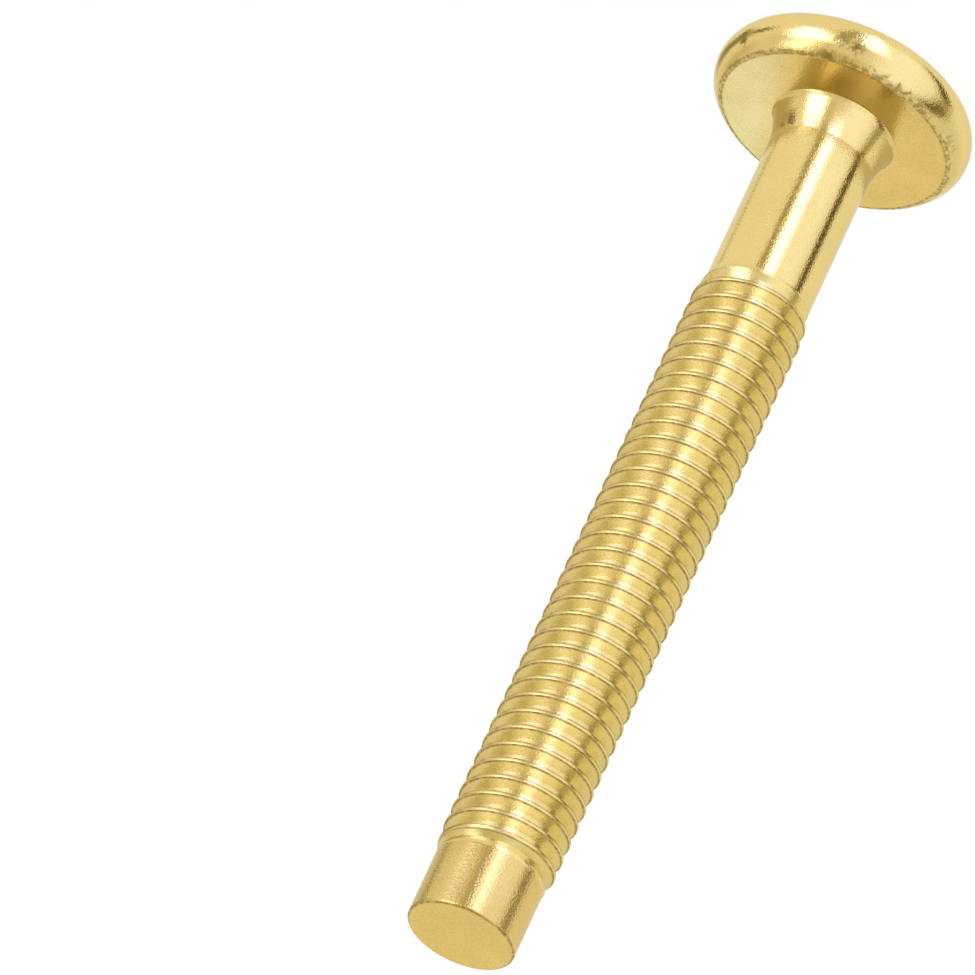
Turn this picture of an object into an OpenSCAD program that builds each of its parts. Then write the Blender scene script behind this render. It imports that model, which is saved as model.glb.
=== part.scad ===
/* [Head] */
// Diameter of the disc head over its rounded rim
head_d = 13.7; // [11:0.1:18]
// Thickness of the disc head
head_h = 2.6; // [2:0.1:3.4]
// Radial depth of the rounded rim, from the edge of the flat faces out to the widest point
rim_depth = 0.75; // [0.4:0.05:1.15]

/* [Hex socket] */
// Size of the hex key, across flats
key_af = 4; // [3:0.5:5]
// Clearance across the flats between the key and the socket
key_clearance = 0.08; // [0.02:0.01:0.2]
// Depth of the straight socket walls
socket_depth = 2.6; // [1.6:0.1:3.4]
// Depth of the conical floor left by the forming punch
socket_cone_h = 0.6; // [0.2:0.1:1]

/* [Neck and shank] */
// Length from the underside of the head to the end of the point
screw_len = 50.5; // [46:0.5:80]
// Diameter of the smooth shank
shank_d = 5.45; // [5.2:0.05:5.8]
// Diameter of the flared neck where it meets the head
neck_d = 6.4; // [6:0.1:8]
// Height of the flared neck
neck_h = 1.9; // [1:0.1:4]
// Bevel between the neck and the underside of the head
neck_bevel = 0.1; // [0.05:0.05:0.5]
// Angle through which the flare turns from the shank to the head
flare_turn = 12; // [2:1:24]

/* [Thread] */
// Major diameter of the thread
thread_d = 6; // [5.9:0.05:6.4]
// Pitch of the right-hand thread
pitch = 1; // [0.75:0.05:1.25]
// Length of the thread, with its run-out and its lead-in
thread_len = 36; // [20:0.2:40]
// Length of the run-out beside the shank, where the thread grows out of the blank
runout_len = 1.2; // [0.5:0.1:3]
// Length of the lead-in beside the point, where the thread fades into the blank
leadin_len = 1; // [0.5:0.1:3]
// Angle round the axis at which the thread starts
thread_start = 99; // [0:1:359]

/* [Point] */
// Diameter of the plain dog point
point_d = 5.55; // [5.2:0.05:5.8]
// Length of the plain dog point, past the end of the thread
point_len = 3.7; // [2:0.1:8]
// Radius of the edge round the end face
point_edge_r = 0.15; // [0.1:0.05:1]

/* [Hidden] */
$fn = 96;

// Heights of the underside of the head, the thread's two ends and the tip, above the outer face of the head
seat_z = head_h;
tip_z = seat_z + screw_len;
point_z = tip_z - point_len;
thread_z = point_z - thread_len;

// Edge of the flat faces, and radius of the rim's arc through both flat edges and the widest point
flat_r = head_d / 2 - rim_depth;
rim_r = (pow(head_h / 2, 2) + pow(rim_depth, 2)) / (2 * rim_depth);
socket_r = (key_af + key_clearance) / 2 / cos(30);
neck_r = neck_d / 2;
shank_r = shank_d / 2;
point_r = point_d / 2;

// Flare of the neck: an arc that leaves the shank at a small angle and ends at the bevel under the head
flare_h = neck_h - neck_bevel;
flare_mid = atan((neck_r - shank_r) / flare_h);
flare_low = flare_mid - flare_turn / 2;
flare_high = flare_mid + flare_turn / 2;
flare_r = flare_h / (sin(flare_high) - sin(flare_low));
// Facets along the flare
flare_facets = 6;

// Basic metric thread form: the sharp triangle loses an eighth at the crest and a quarter at the root
sharp_h = pitch * sqrt(3) / 2;
thread_depth = sharp_h * 5 / 8;
crest_flat = pitch / 8;
root_flat = pitch / 4;
flank = (pitch - crest_flat - root_flat) / 2;
// Corners of the form along one pitch: two at the root, two at the crest
corner_z = [0, root_flat, root_flat + flank, root_flat + flank + crest_flat];
corner_depth = [thread_depth, thread_depth, 0, 0];
corners = len(corner_z);
// Facets round one turn of the thread
turn_facets = 30;
// Steps along the helix: one turn inside the shank, then the thread
steps = ceil((thread_len / pitch + 1) * turn_facets);
// How far the blank ends of the thread lie inside the surfaces of the shank and the point
blank_sink = 0.02;
// How far a cut reaches past the face that it opens
cut_over = 1;

// Share of the full thread form at a height z
function form_share(z) =
    let (grown = (z - thread_z) / runout_len)
    let (left = (point_z - z) / leadin_len)
    max(0, min(1, grown, left));

// Radius of the plain blank at a height z
function blank_r(z) = (z < (thread_z + point_z) / 2 ? shank_r : point_r) - blank_sink;

// Radius of corner k of the form at a height z
function corner_r(k, z) =
    let (full_r = thread_d / 2 - corner_depth[k])
    blank_r(z) + (full_r - blank_r(z)) * form_share(z);

// Corner k of the form at step i along the helix
function helix_point(i, k) =
    let (angle = 360 * i / turn_facets)
    let (z = thread_z + pitch * (i / turn_facets - 1) + corner_z[k])
    let (r = corner_r(k, z))
    [r * cos(angle), r * sin(angle), z];

// Index of that corner: past the last corner comes the first one, a turn later
function helix_index(i, k) = k < corners ? i * corners + k : (i + turn_facets) * corners;

// Edge of the threaded surface at step i: one turn of the helix, then back along the form
function end_loop(i) = concat(
    [for (j = [0 : turn_facets]) helix_index(i + j, 0)],
    [for (k = [corners - 1 : -1 : 1]) helix_index(i, k)]);

// Triangles from a hub on the axis to each side of a loop
function fan(hub, loop) = [for (j = [0 : len(loop) - 1]) [hub, loop[j], loop[(j + 1) % len(loop)]]];

function reversed(list) = [for (j = [len(list) - 1 : -1 : 0]) list[j]];

// Right-hand helical thread on its core, with blank ends that lie inside the shank and the point
module thread() {
    surface_points = [for (i = [0 : steps + turn_facets]) for (k = [0 : corners - 1]) helix_point(i, k)];
    low_hub = len(surface_points);
    high_hub = low_hub + 1;
    hub_points = [[0, 0, thread_z - pitch / 2], [0, 0, point_z + pitch / 2]];
    surface = [for (i = [0 : steps - 1]) for (k = [0 : corners - 1]) each [
        [helix_index(i, k), helix_index(i, k + 1), helix_index(i + 1, k + 1)],
        [helix_index(i, k), helix_index(i + 1, k + 1), helix_index(i + 1, k)]]];
    polyhedron(
        points = concat(surface_points, hub_points),
        faces = concat(surface, fan(low_hub, end_loop(0)), fan(high_hub, reversed(end_loop(steps)))));
}

// Point of the flare where its side leans at an angle from the axis
function flare_point(angle) = [
    shank_r + flare_r * (cos(flare_low) - cos(angle)),
    seat_z + neck_h - flare_r * (sin(angle) - sin(flare_low))];

// Half section of the head with its round rim, the flared neck and the smooth shank
module shank_section() {
    square([flat_r, head_h]);
    intersection() {
        translate([head_d / 2 - rim_r, head_h / 2]) circle(rim_r);
        square([head_d / 2 + cut_over, head_h]);
    }
    polygon([
        [0, 0],
        [neck_r + neck_bevel, 0],
        [neck_r + neck_bevel, seat_z],
        each [for (i = [0 : flare_facets]) flare_point(flare_high - flare_turn * i / flare_facets)],
        [shank_r, thread_z],
        [0, thread_z]]);
}

// Half section of the dog point with its rounded end edge
module point_section() {
    square([point_r, point_len - point_edge_r]);
    square([point_r - point_edge_r, point_len]);
    translate([point_r - point_edge_r, point_len - point_edge_r]) circle(point_edge_r);
}

// Hex socket with a conical floor, open at the outer face of the head
module socket_cut() {
    translate([0, 0, -cut_over]) cylinder(h = socket_depth + cut_over, r = socket_r, $fn = 6);
    translate([0, 0, socket_depth]) cylinder(h = socket_cone_h, r1 = key_af / 2, r2 = 0);
}

// The whole screw, standing on the outer face of its head
module screw() {
    color("#dcbc66") difference() {
        union() {
            rotate_extrude() shank_section();
            rotate([0, 0, thread_start]) thread();
            translate([0, 0, point_z]) rotate_extrude() point_section();
        }
        socket_cut();
    }
}

screw();
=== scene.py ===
"""Yellow-plated furniture connector screw, standing on its head on a plain studio floor."""

import math

import bmesh
import bpy
from mathutils import Matrix, Vector


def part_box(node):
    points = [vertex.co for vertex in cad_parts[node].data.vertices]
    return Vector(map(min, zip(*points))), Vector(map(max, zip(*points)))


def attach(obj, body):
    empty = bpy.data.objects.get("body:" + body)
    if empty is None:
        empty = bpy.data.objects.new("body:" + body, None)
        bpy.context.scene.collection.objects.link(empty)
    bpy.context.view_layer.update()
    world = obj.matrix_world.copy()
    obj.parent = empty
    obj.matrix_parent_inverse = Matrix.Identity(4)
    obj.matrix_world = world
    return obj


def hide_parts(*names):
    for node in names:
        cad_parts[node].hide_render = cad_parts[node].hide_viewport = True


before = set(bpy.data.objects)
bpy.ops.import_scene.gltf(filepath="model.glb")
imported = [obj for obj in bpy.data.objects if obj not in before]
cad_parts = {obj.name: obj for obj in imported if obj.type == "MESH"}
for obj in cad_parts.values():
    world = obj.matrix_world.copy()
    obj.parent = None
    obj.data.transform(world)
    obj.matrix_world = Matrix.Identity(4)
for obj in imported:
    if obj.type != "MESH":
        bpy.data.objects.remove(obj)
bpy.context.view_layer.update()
screw_low, screw_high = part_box("screw")

bl_info = {
    "name": "Furniture Screw",
    "version": (1, 0, 0),
    "blender": (4, 5, 0),
    "location": "View3D > Sidebar > Furniture Screw",
    "description": "Builds a plated furniture connector screw and its studio",
    "category": "Mesh",
}

MM = 0.001
# Columns round the screw: a multiple of six, so that the socket's corners fall on columns
COLUMNS = 120
SIX = 6
# Points nearer to each other than this are merged
WELD = 0.2e-6
# Distance of the extra points beside the corners of long faces
HOLD = 0.08 * MM
# Steps of the arcs in the half section
RIM_STEPS = 24
FLARE_STEPS = 12
POINT_STEPS = 8
# Turns of the helix below the thread's start, and turns beyond the thread's length
LEAD_TURNS = 2
SPARE_TURNS = 3
# Edges that turn by more than this are shaded sharp
SHARP_ANGLE = math.radians(30.0)
# Faces whose normal lies this near to the axis are flat
FLAT_NORMAL = 0.999
# Share of the socket's width, from the axis, that holds all its faces
SOCKET_SHARE = 0.6

# Worn edges, and dark lines at the thread's crest, painted shade along its edges with its rolled
# seam: reach and amount of each mark
CREASE_WEAR = (0.08 * MM, 1.2)
CREASE_SMUDGE = (0.3 * MM, 0.9)
NECK_WEAR = (0.12 * MM, 0.15)
POINT_WEAR = (0.09 * MM, 1.0)
# Painted shade along the crest's lower and upper edges, with the crest's rolled seam
LOWER_CREST_SEAM_AND_SHADE = (0.06 * MM, 2.2)
UPPER_CREST_SEAM_AND_SHADE = (0.055 * MM, 1.7)
# How far the smudge lies outside the crease, and the upper crest's mark from its edge
CREASE_SMUDGE_SHIFT = 0.1 * MM
UPPER_CREST_SHIFT = (-0.056 * MM, 0.032 * MM)
# Rounding of the lower and the upper edge of the thread's crest
CREST_BEVELS = (0.02 * MM, 0.035 * MM)
# Extra points of the thread's form: millimetres from the crest's edges, and shares of the crest
RISE_HOLDS = (0.06, 0.0)
CREST_HOLDS = (0.3, 0.7)
FALL_HOLDS = (0.0, 0.06, 0.1, 0.16)

SENSOR_WIDTH = 36.0
CLIP_RANGE = (0.01, 10.0)


def length_property(name, description, default_mm):
    """A length that is written in millimetres and kept in metres."""
    return bpy.props.FloatProperty(
        name=name,
        description=description,
        default=default_mm * MM,
        min=0.0,
        precision=5,
        unit="LENGTH",
        subtype="DISTANCE",
    )


def colour_property(name, description, default):
    """A colour in linear light."""
    return bpy.props.FloatVectorProperty(
        name=name,
        description=description,
        default=default,
        min=0.0,
        max=1.0,
        precision=3,
        subtype="COLOR",
    )


class ScrewSizes(bpy.types.PropertyGroup):
    """Sizes of the screw."""

    head_diameter: length_property("Head diameter", "Over the rounded rim", -2 * screw_low.x / MM)
    head_height: length_property("Head height", "Thickness of the disc head", 2.6)
    rim_depth: length_property("Rim depth", "Radial depth of the rounded rim", 0.75)
    crease_width: length_property(
        "Crease width", "Shallow groove where the rim meets the flat faces", 0.1
    )
    crease_depth: length_property("Crease depth", "Depth of that groove", 0.02)
    socket_flats: length_property("Socket flats", "Hex socket across its flats", 4.08)
    socket_depth: length_property("Socket depth", "Depth of the straight socket walls", 2.6)
    socket_floor: length_property("Socket floor", "Depth of the conical socket floor", 0.6)
    socket_floor_radius: length_property(
        "Socket floor radius", "Radius of the conical floor at its top", 2.0
    )
    screw_height: length_property(
        "Screw height", "From the outer face of the head to the tip", screw_high.z / MM
    )
    neck_diameter: length_property("Neck diameter", "Flared neck at the head", 6.4)
    neck_height: length_property("Neck height", "Height of the flared neck", 1.9)
    neck_bevel: length_property("Neck bevel", "Bevel between the neck and the head", 0.1)
    flare_turn: bpy.props.FloatProperty(
        name="Flare turn",
        description="Angle through which the neck's side turns from the shank to the head",
        default=math.radians(12.0),
        subtype="ANGLE",
    )
    shank_diameter: length_property("Shank diameter", "Smooth shank", 5.45)
    thread_diameter: length_property("Thread diameter", "Over the crests", 6.0)
    thread_pitch: length_property("Thread pitch", "Advance in one turn", 1.0)
    crest_width: length_property("Crest width", "Flat along the top of the thread", 0.17)
    thread_length: length_property("Thread length", "With run-out and lead-in", 36.0)
    runout: length_property("Run-out", "Where the thread grows out of the shank", 1.2)
    leadin: length_property("Lead-in", "Where the thread fades into the point", 1.0)
    thread_turn: bpy.props.FloatProperty(
        name="Thread turn",
        description="Angle round the axis at which the thread starts",
        default=math.radians(99.0),
        subtype="ANGLE",
    )
    point_diameter: length_property("Point diameter", "Plain dog point", 5.55)
    point_length: length_property("Point length", "Dog point past the thread", 3.7)
    point_round: length_property("Point rounding", "Edge round the end face", 0.15)


class PlatingColours(bpy.types.PropertyGroup):
    """Colours of the plating."""

    polished: colour_property("Polished", "Rim, neck and shank", (0.875, 0.68, 0.264))
    satin: colour_property("Satin", "Flat faces and socket", (0.925, 0.67, 0.209))
    thread: colour_property("Thread", "Flanks and crests of the thread", (0.87, 0.675, 0.235))
    point: colour_property("Point", "Side of the dog point", (0.79, 0.58, 0.20))
    pits: colour_property("Pits", "Small pits in the plating", (0.45, 0.29, 0.07))
    # The worn colour also paints the shade along the thread's crests
    worn_and_shade: colour_property("Worn", "Worn edges and dark dabs", (0.27, 0.17, 0.033))


class StudioSetup(bpy.types.PropertyGroup):
    """Camera and light of the studio."""

    camera_place: bpy.props.FloatVectorProperty(
        name="Camera place",
        description="Where the camera stands",
        default=(0.0, -0.47614, 0.3085351),
        unit="LENGTH",
        subtype="TRANSLATION",
        precision=5,
    )
    camera_turn: bpy.props.FloatVectorProperty(
        name="Camera turn",
        description="How the camera is turned and rolled",
        default=(math.radians(-57.07061), math.radians(21.69455), math.radians(-167.50366)),
        subtype="EULER",
    )
    camera_lens: bpy.props.FloatProperty(
        name="Camera lens",
        description="Focal length in millimetres on a 36 mm sensor",
        default=415.918,
        min=1.0,
    )
    floor_size: length_property("Floor size", "Side of the square floor", 4000.0)


def draw_chain(bm, points):
    """A chain of edges in the XZ half plane through points of radius and height."""
    verts = [bm.verts.new((radius, 0.0, height)) for radius, height in points]
    edges = [bm.edges.new(pair) for pair in zip(verts, verts[1:])]
    return verts, edges


def mark(bm, name, place, reach, amount, inner=0.0):
    """Sets a named attribute round a point of the half section, fading to nothing at its reach.

    Points nearer to the axis than the inner radius are left out.
    """
    layer = bm.verts.layers.float.get(name) or bm.verts.layers.float.new(name)
    for v in bm.verts:
        away = math.hypot(v.co.x - place[0], v.co.z - place[1])
        if away < reach and v.co.x > inner:
            v[layer] = max(v[layer], amount * (1 - away / reach))


def held(points):
    """The points with one more beside each corner, which keeps the shading of long faces flat."""
    kept = [points[0]]
    for (r0, z0), (r1, z1) in zip(points, points[1:]):
        length = math.hypot(r1 - r0, z1 - z0)
        if length > 3 * HOLD:
            for share in (HOLD / length, 1 - HOLD / length):
                kept.append((r0 + (r1 - r0) * share, z0 + (z1 - z0) * share))
        kept.append((r1, z1))
    return kept


def arc(centre, radius, start, end, steps):
    """Points of an arc in the half plane, from a start angle to an end angle in radians."""
    angles = [start + (end - start) * i / steps for i in range(steps + 1)]
    return [(centre[0] + radius * math.cos(a), centre[1] + radius * math.sin(a)) for a in angles]


def spin_chain(bm, edges):
    """Turns a chain once round the screw's axis."""
    geom = list(dict.fromkeys(v for e in edges for v in e.verts)) + list(edges)
    bmesh.ops.spin(
        bm,
        geom=geom,
        cent=(0, 0, 0),
        axis=(0, 0, 1),
        angle=math.tau,
        steps=COLUMNS,
        use_merge=True,
    )


def crease_radius(s):
    """Radius where the head's rim meets its flat faces."""
    return s.head_diameter / 2 - s.rim_depth


def socket_corner_radius(s):
    """Radius of the hex socket's corners."""
    return s.socket_flats / 2 / math.cos(math.pi / SIX)


def rim_circle(s):
    """Centre and radius of the arc of the head's rim in the half plane."""
    half = s.head_height / 2
    radius = (half**2 + s.rim_depth**2) / (2 * s.rim_depth)
    return (s.head_diameter / 2 - radius, half), radius


def head_points(s):
    """Half section from the bottom of the socket over the head and the neck to the shank's end."""
    flat_r = crease_radius(s)
    rim_centre, rim_r = rim_circle(s)
    rim_angle = math.asin(rim_centre[1] / rim_r)
    corner_r = socket_corner_radius(s)
    neck_r = s.neck_diameter / 2
    shank_r = s.shank_diameter / 2
    seat = s.head_height
    flare_height = s.neck_height - s.neck_bevel
    flare_mid = math.atan((neck_r - shank_r) / flare_height)
    flare_low = flare_mid - s.flare_turn / 2
    flare_high = flare_mid + s.flare_turn / 2
    flare_r = flare_height / (math.sin(flare_high) - math.sin(flare_low))
    flare_centre = (
        shank_r + flare_r * math.cos(flare_low),
        seat + s.neck_height + flare_r * math.sin(flare_low),
    )
    groove_r = flat_r - s.crease_width / 2
    inner_r = flat_r - s.crease_width
    bottom = [
        (0.0, s.socket_depth + s.socket_floor),
        (s.socket_floor_radius, s.socket_depth),
        (corner_r, s.socket_depth),
        (corner_r, 0.0),
        (inner_r, 0.0),
        (groove_r, s.crease_depth),
    ]
    rim = arc(rim_centre, rim_r, -rim_angle, rim_angle, RIM_STEPS)
    top = [(groove_r, seat - s.crease_depth), (inner_r, seat), (neck_r + s.neck_bevel, seat)]
    flare_ends = (math.pi + flare_high, math.pi + flare_low)
    flare = arc(flare_centre, flare_r, *flare_ends, FLARE_STEPS)
    shank = held([(shank_r, seat + s.neck_height), (shank_r, thread_start(s))])
    return held(bottom) + rim + held(top) + flare + shank[1:]


def point_start(s):
    """Height where the thread ends and the dog point begins."""
    return s.screw_height - s.point_length


def thread_start(s):
    """Height where the shank ends and the thread begins."""
    return point_start(s) - s.thread_length


def shape_socket(bm, s):
    """Moves the round socket's wall out of the circle onto the hexagon."""
    corner_r = socket_corner_radius(s)
    sector = math.tau / SIX
    for v in bm.verts:
        on_circle = abs(math.hypot(v.co.x, v.co.y) - corner_r) < WELD * 10
        if on_circle and v.co.z < s.socket_depth + WELD:
            angle = math.atan2(v.co.y, v.co.x)
            across = (angle % sector) - sector / 2
            share = math.cos(math.pi / SIX) / math.cos(across)
            v.co.x *= share
            v.co.y *= share


def join(bm, part):
    """Moves a part's mesh into the whole."""
    mesh = bpy.data.meshes.new("part")
    part.to_mesh(mesh)
    part.free()
    bm.from_mesh(mesh)
    bpy.data.meshes.remove(mesh)


# Dark dabs on the rim: angle round the axis from the front and angle up the rim's arc in degrees,
# then the reach in millimetres and the amount
RIM_DARK_DABS = (
    (17, 54, 0.90, 1.1),
    (27, 57, 0.60, 0.8),
    (7, 55, 0.60, 0.9),
    (-4, 48, 0.40, 1.0),
    (-11, 47, 0.40, 1.0),
    (-18, 47, 0.40, 1.0),
    (-25, 48, 0.40, 1.1),
    (-32, 51, 0.40, 1.1),
    (13, 14, 0.75, 1.1),
    (6, 19, 0.75, 1.1),
    (63, 24, 0.60, 1.1),
    (-41, 29, 0.60, 1.0),
    (-58, 40, 0.90, 0.6),
    (-64, 50, 0.80, 0.6),
)


def dab_rim(bm, s):
    """Raises the smudge attribute round each of the dark dabs on the rim."""
    layer = bm.verts.layers.float["smudge"]
    centre, radius = rim_circle(s)
    rim = [v for v in bm.verts if v.co.xy.length > crease_radius(s) - WELD]
    for turn, lift, reach, amount in RIM_DARK_DABS:
        up = math.radians(lift)
        round_r = centre[0] + radius * math.cos(up)
        place = Vector((0.0, -round_r, centre[1] + radius * math.sin(up)))
        place.rotate(Matrix.Rotation(math.radians(turn), 3, "Z"))
        for v in rim:
            share = 1 - (v.co - place).length / (reach * MM)
            v[layer] = max(v[layer], amount * share)


def build_head_and_shank(bm, s):
    """The head with its socket, the flared neck and the smooth shank."""
    _, edges = draw_chain(bm, head_points(s))
    crease_r = crease_radius(s)
    for z in (0.0, s.head_height):
        mark(bm, "wear_and_shade", (crease_r - s.crease_width / 2, z), *CREASE_WEAR)
        smudge_place = (crease_r + CREASE_SMUDGE_SHIFT, z)
        mark(bm, "smudge", smudge_place, *CREASE_SMUDGE, inner=crease_r - WELD)
    mark(bm, "wear_and_shade", (s.neck_diameter / 2, s.head_height + s.neck_bevel), *NECK_WEAR)
    spin_chain(bm, edges)
    bmesh.ops.remove_doubles(bm, verts=bm.verts, dist=WELD)
    dab_rim(bm, s)
    shape_socket(bm, s)


def build_point(bm, s):
    """The plain dog point with its rounded end edge."""
    r = s.point_diameter / 2
    centre = (r - s.point_round, s.screw_height - s.point_round)
    side = held([(r, point_start(s)), (r, centre[1])])
    edge = arc(centre, s.point_round, 0.0, math.pi / 2, POINT_STEPS)
    face = held([(centre[0], s.screw_height), (0.0, s.screw_height)])
    point = bmesh.new()
    _, edges = draw_chain(point, side + edge[1:-1] + face)
    middle = s.point_round * (1 - math.sqrt(0.5))
    mark(point, "wear_and_shade", (r - middle, s.screw_height - middle), *POINT_WEAR)
    spin_chain(point, edges)
    join(bm, point)


def thread_points(s):
    """One pitch of the thread's form, from the middle of a root to the middle of the next."""
    pitch = s.thread_pitch
    crest_r = s.thread_diameter / 2
    depth = pitch * math.sqrt(3) / 2 * 5 / 8
    root_r = crest_r - depth
    root_flat = pitch / 4
    low = root_flat + (pitch - root_flat - s.crest_width) / 2
    high = low + s.crest_width
    corners = [(root_r, root_flat), (crest_r, low), (crest_r, high), (root_r, pitch)]
    rise, top, fall = [Vector(b) - Vector(a) for a, b in zip(corners, corners[1:])]
    form = [Vector(corners[0])]
    form += [Vector(corners[1]) - rise.normalized() * away * MM for away in RISE_HOLDS]
    form += [Vector(corners[1]) + top * share for share in CREST_HOLDS]
    form += [Vector(corners[2]) + fall.normalized() * away * MM for away in FALL_HOLDS]
    form += [Vector(corners[3])]
    return [(root_r, root_flat / 2)] + [tuple(p) for p in form] + [(root_r, pitch + root_flat / 2)]


def build_thread(bm, s):
    """The right-hand thread: one turn of a helix, stacked, and faded out at both ends."""
    low, high = thread_start(s), point_start(s)
    turn = bmesh.new()
    points = [(r, z + low - LEAD_TURNS * s.thread_pitch) for r, z in thread_points(s)]
    verts, edges = draw_chain(turn, points)
    crest = [v for v in verts if v.co.x > s.thread_diameter / 2 - WELD]
    corners = [crest[0], crest[-1]]
    places = [(v.co.x, v.co.z) for v in corners]
    for corner, offset in zip(corners, CREST_BEVELS):
        bmesh.ops.bevel(
            turn,
            geom=[corner],
            offset=offset,
            offset_type="OFFSET",
            segments=2,
            profile=0.5,
            affect="VERTICES",
            material=-1,
        )
    # Painted shade in dark lines along both edges of the crest, with its rolled seam
    mark(turn, "wear_and_shade", places[0], *LOWER_CREST_SEAM_AND_SHADE)
    upper = [at + shift for at, shift in zip(places[1], UPPER_CREST_SHIFT)]
    mark(turn, "wear_and_shade", upper, *UPPER_CREST_SEAM_AND_SHADE)
    wear_and_shade = turn.verts.layers.float["wear_and_shade"]
    bmesh.ops.spin(
        turn,
        geom=list(turn.verts) + list(turn.edges),
        cent=(0, 0, 0),
        axis=(0, 0, 1),
        dvec=(0, 0, s.thread_pitch / COLUMNS),
        angle=math.tau,
        steps=COLUMNS,
        use_merge=False,
    )
    turns = math.ceil(s.thread_length / s.thread_pitch) + SPARE_TURNS
    one = list(turn.verts) + list(turn.edges) + list(turn.faces)
    for i in range(1, turns):
        copy = bmesh.ops.duplicate(turn, geom=one)
        moved = [v for v in copy["geom"] if isinstance(v, bmesh.types.BMVert)]
        bmesh.ops.translate(turn, verts=moved, vec=(0, 0, i * s.thread_pitch))
    bmesh.ops.remove_doubles(turn, verts=turn.verts, dist=WELD)
    turned = Matrix.Rotation(s.thread_turn, 3, "Z")
    bmesh.ops.rotate(turn, verts=turn.verts, cent=(0, 0, 0), matrix=turned)
    for v in turn.verts:
        z = min(max(v.co.z, low), high)
        blank = (s.shank_diameter if z < (low + high) / 2 else s.point_diameter) / 2
        share = min((z - low) / s.runout, (high - z) / s.leadin, 1.0)
        r = math.hypot(v.co.x, v.co.y)
        scale = (blank + (r - blank) * share) / r
        v[wear_and_shade] = min(v[wear_and_shade], 1.0) * share
        v.co = (v.co.x * scale, v.co.y * scale, z)
    bmesh.ops.remove_doubles(turn, verts=turn.verts, dist=WELD)
    bmesh.ops.dissolve_degenerate(turn, edges=turn.edges, dist=WELD)
    join(bm, turn)


def add_socket(group, name, kind, default=None, out=False):
    """A named input or output of a node group."""
    socket = group.interface.new_socket(
        name=name, in_out="OUTPUT" if out else "INPUT", socket_type="NodeSocket" + kind
    )
    if default is not None:
        socket.default_value = default
    return socket


def node(tree, kind, place, **settings):
    """A new node at a place in the tree; settings name its properties."""
    made = tree.nodes.new(kind)
    made.location = place
    for name, value in settings.items():
        setattr(made, name, value)
    return made


def math_node(tree, operation, place, *values):
    """A Math node with its inputs set from numbers or linked from sockets."""
    made = node(tree, "ShaderNodeMath", place, operation=operation)
    for socket, value in zip(made.inputs, values):
        if isinstance(value, bpy.types.NodeSocket):
            tree.links.new(value, socket)
        else:
            socket.default_value = value
    return made.outputs[0]


def plating_grain_group():
    """Fine grain of electroplating: a height for bump, a mask of pits and a slow change of tone."""
    group = bpy.data.node_groups.new("plating_grain", "ShaderNodeTree")
    add_socket(group, "Vector", "Vector")
    add_socket(group, "Grain Scale", "Float", 9000.0)
    add_socket(group, "Pit Scale", "Float", 2500.0)
    add_socket(group, "Pit Size", "Float", 0.1)
    add_socket(group, "Height", "Float", out=True)
    add_socket(group, "Pits", "Float", out=True)
    add_socket(group, "Tone", "Float", out=True)
    start = node(group, "NodeGroupInput", (-700, 0))
    end = node(group, "NodeGroupOutput", (500, 0))
    links = group.links
    fine = node(group, "ShaderNodeTexNoise", (-450, 250))
    fine.inputs["Detail"].default_value = 1.0
    links.new(start.outputs["Vector"], fine.inputs["Vector"])
    links.new(start.outputs["Grain Scale"], fine.inputs["Scale"])
    pits = node(group, "ShaderNodeTexVoronoi", (-450, -50))
    links.new(start.outputs["Vector"], pits.inputs["Vector"])
    links.new(start.outputs["Pit Scale"], pits.inputs["Scale"])
    slow = node(group, "ShaderNodeTexNoise", (-450, -400))
    slow.inputs["Scale"].default_value = 350.0
    slow.inputs["Detail"].default_value = 3.0
    links.new(start.outputs["Vector"], slow.inputs["Vector"])
    depth = node(group, "ShaderNodeMapRange", (-150, -100))
    links.new(pits.outputs["Distance"], depth.inputs["Value"])
    links.new(start.outputs["Pit Size"], depth.inputs["From Max"])
    depth.inputs["To Min"].default_value = 1.0
    depth.inputs["To Max"].default_value = 0.0
    height = math_node(group, "SUBTRACT", (250, 250), fine.outputs["Fac"], depth.outputs["Result"])
    both = math_node(group, "ADD", (50, -300), fine.outputs["Fac"], slow.outputs["Fac"])
    spread = node(group, "ShaderNodeMapRange", (250, -300))
    links.new(both, spread.inputs["Value"])
    spread.inputs["From Min"].default_value = 0.7
    spread.inputs["From Max"].default_value = 1.3
    links.new(height, end.inputs["Height"])
    links.new(depth.outputs["Result"], end.inputs["Pits"])
    links.new(spread.outputs["Result"], end.inputs["Tone"])
    return group


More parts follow.
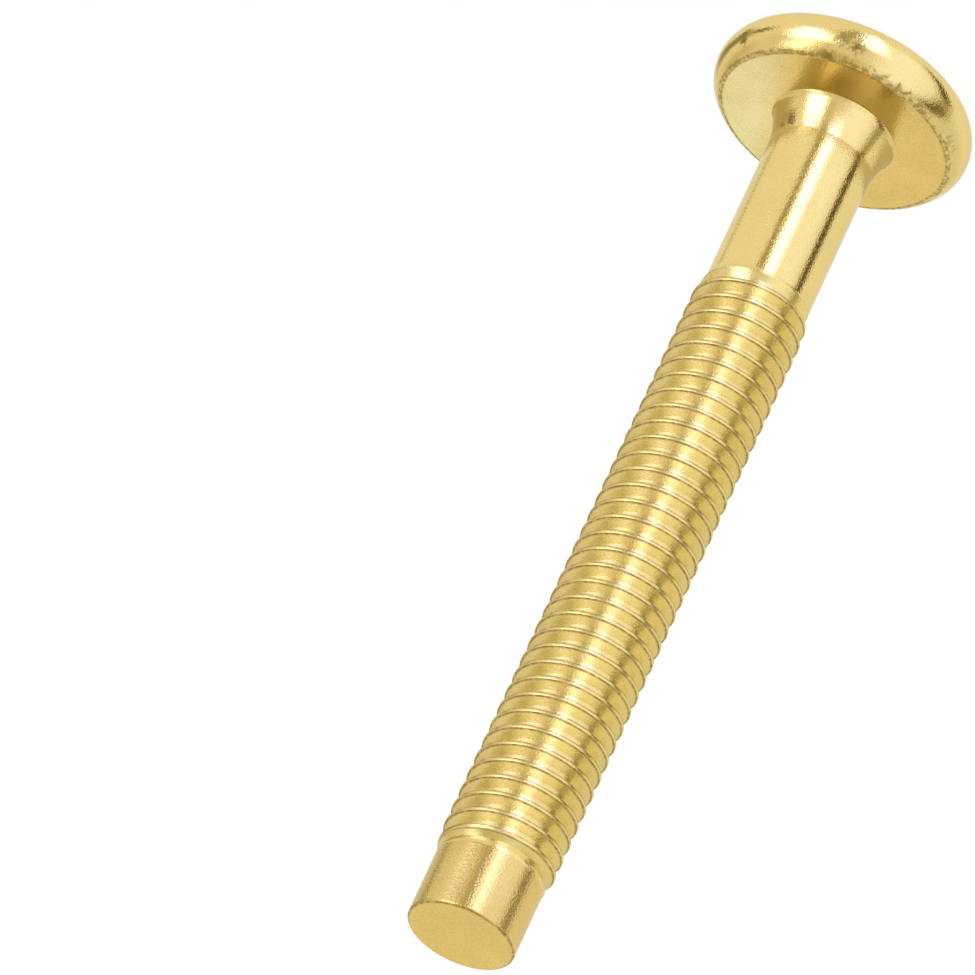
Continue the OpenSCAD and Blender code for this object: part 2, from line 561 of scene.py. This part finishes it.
def edge_wear_and_shade_group():
    """Dark broken lines and dabs where the mesh's marks are high: worn edges, smudges, and painted
    shade along the thread's crests.
    """
    group = bpy.data.node_groups.new("edge_wear_and_shade", "ShaderNodeTree")
    add_socket(group, "Vector", "Vector")
    add_socket(group, "Wear_And_Shade", "Float", 0.0)
    add_socket(group, "Smudge", "Float", 0.0)
    add_socket(group, "Nick Scale", "Float", 2500.0)
    add_socket(group, "Share", "Float", 0.5)
    add_socket(group, "Line", "Float", out=True)
    start = node(group, "NodeGroupInput", (-900, 0))
    end = node(group, "NodeGroupOutput", (700, 0))
    nicks = node(group, "ShaderNodeTexNoise", (-650, 250))
    nicks.inputs["Detail"].default_value = 2.0
    group.links.new(start.outputs["Vector"], nicks.inputs["Vector"])
    group.links.new(start.outputs["Nick Scale"], nicks.inputs["Scale"])
    uneven = node(group, "ShaderNodeMapRange", (-400, 250))
    group.links.new(nicks.outputs["Fac"], uneven.inputs["Value"])
    uneven.inputs["From Min"].default_value = 0.35
    uneven.inputs["From Max"].default_value = 0.6
    group.links.new(start.outputs["Share"], uneven.inputs["To Min"])
    worn_and_shade = start.outputs["Wear_And_Shade"]
    line = math_node(group, "MULTIPLY", (-100, 150), worn_and_shade, uneven.outputs["Result"])
    dabs = node(group, "ShaderNodeTexNoise", (-650, -250))
    dabs.inputs["Scale"].default_value = 3500.0
    dabs.inputs["Detail"].default_value = 2.0
    dabs.inputs["Roughness"].default_value = 0.6
    group.links.new(start.outputs["Vector"], dabs.inputs["Vector"])
    smudge = start.outputs["Smudge"]
    raised = math_node(group, "MULTIPLY_ADD", (-400, -250), smudge, 0.42, dabs.outputs["Fac"])
    patch = node(group, "ShaderNodeMapRange", (-200, -250))
    group.links.new(raised, patch.inputs["Value"])
    patch.inputs["From Min"].default_value = 0.66
    patch.inputs["From Max"].default_value = 0.82
    faded = math_node(group, "MULTIPLY", (50, -250), patch.outputs["Result"], smudge)
    both = math_node(group, "MAXIMUM", (300, 0), line, faded)
    group.links.new(both, end.inputs["Line"])
    return group


# Tint of the plating seen at a low angle
GRAZING_TINT = (0.85, 0.84, 0.74)


def new_plating(name, grain, wear_and_shade, finish, colours):
    """Bright yellow plating with its grain, and with dark lines along worn edges and painted shade
    along the thread's crests; painted shading on one side and a painted reflection colour.
    """
    material = bpy.data.materials.new(name)
    material.use_nodes = True
    tree = material.node_tree
    links = tree.links
    shader = tree.nodes["Principled BSDF"]
    shader.inputs["Metallic"].default_value = 1.0
    shader.inputs["Specular Tint"].default_value = (*GRAZING_TINT, 1)
    place = node(tree, "ShaderNodeTexCoord", (-1700, 0))
    effect = node(tree, "ShaderNodeGroup", (-1400, 0), node_tree=grain)
    effect.inputs["Grain Scale"].default_value = finish["grain_scale"]
    effect.inputs["Pit Scale"].default_value = finish["pit_scale"]
    effect.inputs["Pit Size"].default_value = finish["pit_size"]
    links.new(place.outputs["Object"], effect.inputs["Vector"])
    lines = node(tree, "ShaderNodeGroup", (-1400, -300), node_tree=wear_and_shade)
    lines.inputs["Nick Scale"].default_value = finish["nick_scale"]
    lines.inputs["Share"].default_value = finish["nick_share"]
    links.new(place.outputs["Object"], lines.inputs["Vector"])
    for i, layer in enumerate(("wear_and_shade", "smudge")):
        worn_and_shade = node(tree, "ShaderNodeAttribute", (-1700, -300 - 200 * i), attribute_name=layer)
        links.new(worn_and_shade.outputs["Fac"], lines.inputs[layer.title()])
    # Painted shading: along a direction the colour turns into the finish's painted shading colour
    painted_shading_sweep = node(tree, "ShaderNodeVectorMath", (-1400, 300), operation="DOT_PRODUCT")
    painted_shading_sweep.inputs[1].default_value = finish["painted_shading_along"]
    links.new(place.outputs["Object"], painted_shading_sweep.inputs[0])
    side = node(tree, "ShaderNodeMapRange", (-1150, 300), interpolation_type="SMOOTHSTEP")
    side.inputs["From Min"].default_value = finish["painted_shading_from"] * MM
    side.inputs["From Max"].default_value = finish["painted_shading_to"] * MM
    links.new(painted_shading_sweep.outputs["Value"], side.inputs["Value"])
    tone = node(tree, "ShaderNodeMix", (-900, 150), data_type="RGBA")
    tone.inputs["A"].default_value = (*getattr(colours, finish["colour"]), 1)
    tone.inputs["B"].default_value = (*finish["painted_shading"], 1)
    links.new(side.outputs["Result"], tone.inputs["Factor"])
    shade = node(tree, "ShaderNodeMix", (-700, 150), data_type="RGBA", blend_type="MULTIPLY")
    shade.inputs["B"].default_value = (*finish["mottle"], 1)
    links.new(tone.outputs["Result"], shade.inputs["A"])
    links.new(effect.outputs["Tone"], shade.inputs["Factor"])
    spots = node(tree, "ShaderNodeMix", (-500, 150), data_type="RGBA")
    spots.inputs["B"].default_value = (*colours.pits, 1)
    links.new(shade.outputs["Result"], spots.inputs["A"])
    links.new(effect.outputs["Pits"], spots.inputs["Factor"])
    # Dark lines: worn edges, dabs, and painted shade along the thread's crests
    dark = node(tree, "ShaderNodeMix", (-300, 150), data_type="RGBA")
    dark.inputs["B"].default_value = (*colours.worn_and_shade, 1)
    links.new(spots.outputs["Result"], dark.inputs["A"])
    links.new(lines.outputs["Line"], dark.inputs["Factor"])
    # Painted reflection: seen in other parts of the plating, the colour is the finish's painted
    # reflection colour
    path = node(tree, "ShaderNodeLightPath", (-300, 450))
    seen = node(tree, "ShaderNodeMix", (-100, 150), data_type="RGBA")
    links.new(path.outputs["Is Glossy Ray"], seen.inputs["Factor"])
    links.new(dark.outputs["Result"], seen.inputs["A"])
    seen.inputs["B"].default_value = (*finish["painted_reflection"], 1)
    links.new(seen.outputs["Result"], shader.inputs["Base Color"])
    rough = node(tree, "ShaderNodeMapRange", (-300, -100))
    rough.inputs["To Min"].default_value = finish["roughness"]
    rough.inputs["To Max"].default_value = finish["worn_roughness"]
    links.new(lines.outputs["Line"], rough.inputs["Value"])
    links.new(rough.outputs["Result"], shader.inputs["Roughness"])
    bump = node(tree, "ShaderNodeBump", (-100, -350))
    bump.inputs["Strength"].default_value = 1.0
    bump.inputs["Distance"].default_value = finish["bump"]
    links.new(effect.outputs["Height"], bump.inputs["Height"])
    links.new(bump.outputs["Normal"], shader.inputs["Normal"])
    return material


# Finishes of the plating: the named colour sweeps to a painted shading colour along a direction,
# between two distances in millimetres from the axis: painted light on one side of the satin and
# the thread, painted shade on one side of the polished plating and over a band of the point;
# the painted reflection is the colour seen in other parts of the plating: painted shade in the
# polished plating's reflections and painted light in the others'; the bump is in metres, and
# scales are per metre
FINISHES = {
    "plating_polished": {
        "colour": "polished",
        # Painted shade on the +X side
        "painted_shading": (0.865, 0.668, 0.255),
        "mottle": (0.90, 0.87, 0.80),
        "painted_shading_along": (1.0, 0.0, 0.0),
        "painted_shading_from": -3.0,
        "painted_shading_to": 3.0,
        "roughness": 0.12,
        "worn_roughness": 0.4,
        "bump": 8.5e-6,
        "grain_scale": 10000.0,
        "pit_scale": 2500.0,
        "pit_size": 0.07,
        "nick_scale": 3500.0,
        "nick_share": 0.2,
        # Painted shade in reflections
        "painted_reflection": (0.55, 0.45, 0.24),
    },
    "plating_satin": {
        "colour": "satin",
        # Painted light on the +X side
        "painted_shading": (1.0, 0.87, 0.42),
        "mottle": (0.85, 0.81, 0.72),
        "painted_shading_along": (1.0, 0.2, 0.0),
        "painted_shading_from": 2.0,
        "painted_shading_to": 4.5,
        "roughness": 0.19,
        "worn_roughness": 0.45,
        "bump": 6.0e-6,
        "grain_scale": 8000.0,
        "pit_scale": 1200.0,
        "pit_size": 0.06,
        "nick_scale": 3500.0,
        "nick_share": 0.3,
        # Painted light in reflections
        "painted_reflection": (0.80, 0.72, 0.52),
    },
    "plating_thread": {
        "colour": "thread",
        # Painted light, bluer, on the +X side
        "painted_shading": (0.87, 0.675, 0.27),
        "mottle": (0.90, 0.87, 0.80),
        "painted_shading_along": (1.0, 0.0, 0.0),
        "painted_shading_from": -3.0,
        "painted_shading_to": 1.0,
        "roughness": 0.23,
        "worn_roughness": 0.4,
        "bump": 8.0e-6,
        "grain_scale": 9000.0,
        "pit_scale": 2500.0,
        "pit_size": 0.07,
        "nick_scale": 4000.0,
        "nick_share": 0.45,
        # Painted light in reflections
        "painted_reflection": (0.95, 0.90, 0.63),
    },
    "plating_point": {
        "colour": "point",
        # Painted shade over a narrow band of the point's side towards -Y, dimming its highlight
        "painted_shading": (0.70, 0.49, 0.15),
        "mottle": (0.90, 0.87, 0.80),
        "painted_shading_along": (0.242, -0.970, 0.0),
        "painted_shading_from": 2.64,
        "painted_shading_to": 2.74,
        "roughness": 0.24,
        "worn_roughness": 0.4,
        "bump": 1.4e-5,
        "grain_scale": 9000.0,
        "pit_scale": 2500.0,
        "pit_size": 0.1,
        "nick_scale": 3500.0,
        "nick_share": 0.2,
        # Painted light in reflections
        "painted_reflection": (0.98, 0.95, 0.74),
    },
}


def studio_panel_group():
    """Mask of one upright panel of the studio by its azimuth and elevation in degrees."""
    group = bpy.data.node_groups.new("studio_panel", "ShaderNodeTree")
    for name, default in (
        ("Azimuth", 0.0),
        ("Elevation", 0.0),
        ("Centre Azimuth", 0.0),
        ("Centre Elevation", 0.0),
        ("Half Width", 10.0),
        ("Half Height", 30.0),
        ("Side Fade", 4.0),
        ("End Fade", 10.0),
        ("Slant", 0.0),
    ):
        add_socket(group, name, "Float", default)
    add_socket(group, "Mask", "Float", out=True)
    start = node(group, "NodeGroupInput", (-900, 0))
    end = node(group, "NodeGroupOutput", (700, 0))
    given = start.outputs
    rise = math_node(group, "SUBTRACT", (-700, -200), given["Elevation"], given["Centre Elevation"])
    lean = math_node(group, "MULTIPLY", (-500, -200), rise, given["Slant"])
    turn = math_node(group, "SUBTRACT", (-700, 100), given["Azimuth"], given["Centre Azimuth"])
    turn = math_node(group, "SUBTRACT", (-500, 100), turn, lean)
    turn = math_node(group, "WRAP", (-300, 100), turn, 180.0, -180.0)
    masks = []
    for offset, half, fade, height in (
        (turn, "Half Width", "Side Fade", 100),
        (rise, "Half Height", "End Fade", -200),
    ):
        away = math_node(group, "ABSOLUTE", (-100, height), offset)
        inner = math_node(group, "SUBTRACT", (-100, height - 60), given[half], given[fade])
        outer = math_node(group, "ADD", (-100, height - 120), given[half], given[fade])
        ramp = node(group, "ShaderNodeMapRange", (150, height), interpolation_type="SMOOTHSTEP")
        group.links.new(away, ramp.inputs["Value"])
        group.links.new(inner, ramp.inputs["From Min"])
        group.links.new(outer, ramp.inputs["From Max"])
        ramp.inputs["To Min"].default_value = 1.0
        ramp.inputs["To Max"].default_value = 0.0
        masks.append(ramp.outputs["Result"])
    mask = math_node(group, "MULTIPLY", (450, 0), *masks)
    group.links.new(mask, end.inputs["Mask"])
    return group


# Panels of the studio in the order that they are laid over the dome:
# name, colour, centre azimuth and elevation, half width and height, side and end fade, slant
STUDIO_PANELS = (
    ("upper_dome", (0.86, 0.86, 0.86), 0, 50, 200, 52, 10, 14, 0.0),
    ("wide_fill", (1.18, 1.22, 1.50), -32, 0, 26, 62, 14, 14, 0.0),
    ("top_shade", (0.70, 0.66, 0.50), 60, 66, 60, 18, 20, 10, 0.0),
    ("high_fill", (2.0, 2.0, 2.4), 66, 38, 14, 16, 7, 14, 0.8),
    ("high_flag", (0.42, 0.38, 0.25), 45, 60, 5, 5, 4, 4, 0.0),
    ("side_softbox", (3.0, 3.1, 4.2), 50, 3, 17, 14, 4, 5, 0.0),
    ("side_low_fill", (2.3, 2.6, 5.5), 51, -19, 9, 5, 7, 3.5, 0.0),
    ("front_strip", (2.3, 2.4, 4.2), -1, -39, 10, 31, 5, 8, -0.05),
    ("left_flag", (0.42, 0.37, 0.20), -75, 8, 8, 40, 7, 8, 0.05),
    ("left_low_flag", (0.12, 0.08, 0.015), -78, -42, 7.5, 20, 4, 8, 0.05),
    ("left_high_flag", (0.18, 0.14, 0.05), -75, 24, 7, 18, 4, 8, 0.05),
    ("front_flag", (0.75, 0.72, 0.62), 21, -2, 6, 12, 4, 8, 0.0),
    ("front_low_flag", (0.40, 0.37, 0.22), 20.5, -36, 5.5, 24, 4, 10, 0.0),
    ("right_flag", (0.20, 0.17, 0.08), 95, -17, 10, 5, 5, 3, 0.0),
    ("back_flag", (0.36, 0.33, 0.19), 128, -17, 22, 8, 8, 4, 0.0),
    ("back_high_flag", (0.72, 0.66, 0.47), 128, 19, 24, 8, 8, 5, 0.0),
    ("low_flag", (0.12, 0.09, 0.03), 120, -26, 5, 5, 3, 3, 0.0),
)
DOME_COLOUR = (1.0, 1.0, 1.0)


def build_dome():
    """White for the camera, and a soft dome with panels and flags for light and reflections."""
    world = bpy.data.worlds.new("studio_dome")
    world.use_nodes = True
    tree = world.node_tree
    tree.nodes.clear()
    panel = studio_panel_group()
    look = node(tree, "ShaderNodeTexCoord", (-1800, 0))
    split = node(tree, "ShaderNodeSeparateXYZ", (-1600, 0))
    tree.links.new(look.outputs["Generated"], split.inputs["Vector"])
    back = math_node(tree, "MULTIPLY", (-1400, 100), split.outputs["Y"], -1.0)
    azimuth = math_node(tree, "ARCTAN2", (-1200, 100), split.outputs["X"], back)
    azimuth = math_node(tree, "DEGREES", (-1000, 100), azimuth)
    elevation = math_node(tree, "ARCSINE", (-1200, -100), split.outputs["Z"])
    elevation = math_node(tree, "DEGREES", (-1000, -100), elevation)
    colour = None
    for i, (name, tint, az, el, width, height, side, end, slant) in enumerate(STUDIO_PANELS):
        mask = node(tree, "ShaderNodeGroup", (-700 + 300 * i, -300), node_tree=panel, label=name)
        tree.links.new(azimuth, mask.inputs["Azimuth"])
        tree.links.new(elevation, mask.inputs["Elevation"])
        for socket, value in (
            ("Centre Azimuth", az),
            ("Centre Elevation", el),
            ("Half Width", width),
            ("Half Height", height),
            ("Side Fade", side),
            ("End Fade", end),
            ("Slant", slant),
        ):
            mask.inputs[socket].default_value = value
        mix = node(tree, "ShaderNodeMix", (-600 + 300 * i, 100), data_type="RGBA")
        tree.links.new(mask.outputs["Mask"], mix.inputs["Factor"])
        if colour is None:
            mix.inputs["A"].default_value = (*DOME_COLOUR, 1)
        else:
            tree.links.new(colour, mix.inputs["A"])
        mix.inputs["B"].default_value = (*tint, 1)
        colour = mix.outputs["Result"]
    studio = node(tree, "ShaderNodeBackground", (2000, 0))
    tree.links.new(colour, studio.inputs["Color"])
    white = node(tree, "ShaderNodeBackground", (2000, 200))
    white.inputs["Color"].default_value = (1, 1, 1, 1)
    path = node(tree, "ShaderNodeLightPath", (2000, 500))
    seen = node(tree, "ShaderNodeMixShader", (2200, 100))
    tree.links.new(path.outputs["Is Camera Ray"], seen.inputs[0])
    tree.links.new(studio.outputs[0], seen.inputs[1])
    tree.links.new(white.outputs[0], seen.inputs[2])
    output = node(tree, "ShaderNodeOutputWorld", (2400, 100))
    tree.links.new(seen.outputs[0], output.inputs["Surface"])
    return world


# Floor: colour of the lit paper, strength of the plain white and its share of what the camera sees
FLOOR_PAPER = (0.95, 0.95, 0.95)
FLOOR_WHITE_STRENGTH = 1.04
FLOOR_WHITE_SHARE = 0.88


def new_floor_white():
    """White floor with a faint shadow: plain white for the camera with a share of lit paper."""
    material = bpy.data.materials.new("floor_white")
    material.use_nodes = True
    tree = material.node_tree
    tree.nodes.clear()
    paper = node(tree, "ShaderNodeBsdfDiffuse", (0, -100))
    paper.inputs["Color"].default_value = (*FLOOR_PAPER, 1)
    white = node(tree, "ShaderNodeEmission", (0, 100))
    white.inputs["Strength"].default_value = FLOOR_WHITE_STRENGTH
    path = node(tree, "ShaderNodeLightPath", (-400, 200))
    camera_ray = path.outputs["Is Camera Ray"]
    share = math_node(tree, "MULTIPLY", (-200, 200), camera_ray, FLOOR_WHITE_SHARE)
    mix = node(tree, "ShaderNodeMixShader", (200, 0))
    tree.links.new(share, mix.inputs[0])
    tree.links.new(paper.outputs[0], mix.inputs[1])
    tree.links.new(white.outputs[0], mix.inputs[2])
    output = node(tree, "ShaderNodeOutputMaterial", (400, 0))
    tree.links.new(mix.outputs[0], output.inputs["Surface"])
    return material


def finish_of(face, s):
    """Which finish a face has: satin when flat or in the socket, else point, thread or polished."""
    names = list(FINISHES)
    centre = face.center
    near_axis = math.hypot(centre.x, centre.y) < s.socket_flats * SOCKET_SHARE
    in_socket = near_axis and centre.z < s.head_height
    if abs(face.normal.z) > FLAT_NORMAL or in_socket:
        return names.index("plating_satin")
    if centre.z > point_start(s):
        return names.index("plating_point")
    if centre.z > thread_start(s):
        return names.index("plating_thread")
    return names.index("plating_polished")


class FURNITURE_SCREW_OT_body(bpy.types.Operator):
    """Build the whole screw as one closed body"""

    bl_idname = "furniture_screw.body"
    bl_label = "Screw Body"

    def execute(self, context):
        s = context.scene.furniture_screw_sizes
        colours = context.scene.furniture_screw_colours
        bm = bmesh.new()
        build_head_and_shank(bm, s)
        build_thread(bm, s)
        build_point(bm, s)
        bmesh.ops.remove_doubles(bm, verts=bm.verts, dist=WELD)
        bmesh.ops.recalc_face_normals(bm, faces=bm.faces)
        for face in bm.faces:
            face.smooth = True
        for edge in bm.edges:
            edge.smooth = edge.calc_face_angle(0.0) < SHARP_ANGLE
        mesh = bpy.data.meshes.new("screw_body")
        bm.to_mesh(mesh)
        bm.free()
        grain = plating_grain_group()
        wear_and_shade = edge_wear_and_shade_group()
        for name, finish in FINISHES.items():
            mesh.materials.append(new_plating(name, grain, wear_and_shade, finish, colours))
        for face in mesh.polygons:
            face.material_index = finish_of(face, s)
        body = bpy.data.objects.new("screw_body", mesh)
        context.scene.collection.objects.link(body)
        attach(body, "root")
        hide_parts("screw")
        return {"FINISHED"}


class FURNITURE_SCREW_OT_stage(bpy.types.Operator):
    """Set the floor, the light and the camera"""

    bl_idname = "furniture_screw.stage"
    bl_label = "Studio Stage"

    def execute(self, context):
        setup = context.scene.furniture_screw_studio
        camera_data = bpy.data.cameras.new("studio_camera")
        camera_data.sensor_width = SENSOR_WIDTH
        camera_data.lens = setup.camera_lens
        camera_data.clip_start, camera_data.clip_end = CLIP_RANGE
        camera = bpy.data.objects.new("studio_camera", camera_data)
        camera.location = setup.camera_place
        camera.rotation_euler = setup.camera_turn
        context.scene.collection.objects.link(camera)
        context.scene.camera = camera
        context.scene.world = build_dome()
        bm = bmesh.new()
        bmesh.ops.create_grid(bm, x_segments=1, y_segments=1, size=setup.floor_size / 2)
        floor_mesh = bpy.data.meshes.new("studio_floor")
        bm.to_mesh(floor_mesh)
        bm.free()
        floor_mesh.materials.append(new_floor_white())
        floor = bpy.data.objects.new("studio_floor", floor_mesh)
        floor.visible_glossy = False
        context.scene.collection.objects.link(floor)
        context.scene.view_settings.view_transform = "Standard"
        return {"FINISHED"}


class FURNITURE_SCREW_PT_panel(bpy.types.Panel):
    """Steps, sizes, colours and studio of the furniture screw"""

    bl_label = "Furniture Screw"
    bl_idname = "FURNITURE_SCREW_PT_panel"
    bl_space_type = "VIEW_3D"
    bl_region_type = "UI"
    bl_category = "Furniture Screw"

    def draw(self, context):
        self.layout.operator(FURNITURE_SCREW_OT_body.bl_idname)
        self.layout.operator(FURNITURE_SCREW_OT_stage.bl_idname)
        scene = context.scene
        for kind, group in (
            (ScrewSizes, scene.furniture_screw_sizes),
            (PlatingColours, scene.furniture_screw_colours),
            (StudioSetup, scene.furniture_screw_studio),
        ):
            for name in kind.__annotations__:
                self.layout.prop(group, name)


CLASSES = (
    ScrewSizes,
    PlatingColours,
    StudioSetup,
    FURNITURE_SCREW_OT_body,
    FURNITURE_SCREW_OT_stage,
    FURNITURE_SCREW_PT_panel,
)


def register():
    for cls in CLASSES:
        bpy.utils.register_class(cls)
    bpy.types.Scene.furniture_screw_sizes = bpy.props.PointerProperty(type=ScrewSizes)
    bpy.types.Scene.furniture_screw_colours = bpy.props.PointerProperty(type=PlatingColours)
    bpy.types.Scene.furniture_screw_studio = bpy.props.PointerProperty(type=StudioSetup)


def unregister():
    del bpy.types.Scene.furniture_screw_studio
    del bpy.types.Scene.furniture_screw_colours
    del bpy.types.Scene.furniture_screw_sizes
    for cls in reversed(CLASSES):
        bpy.utils.unregister_class(cls)


def main():
    register()
    bpy.ops.furniture_screw.body()
    bpy.ops.furniture_screw.stage()


if __name__ == "__main__":
    main()
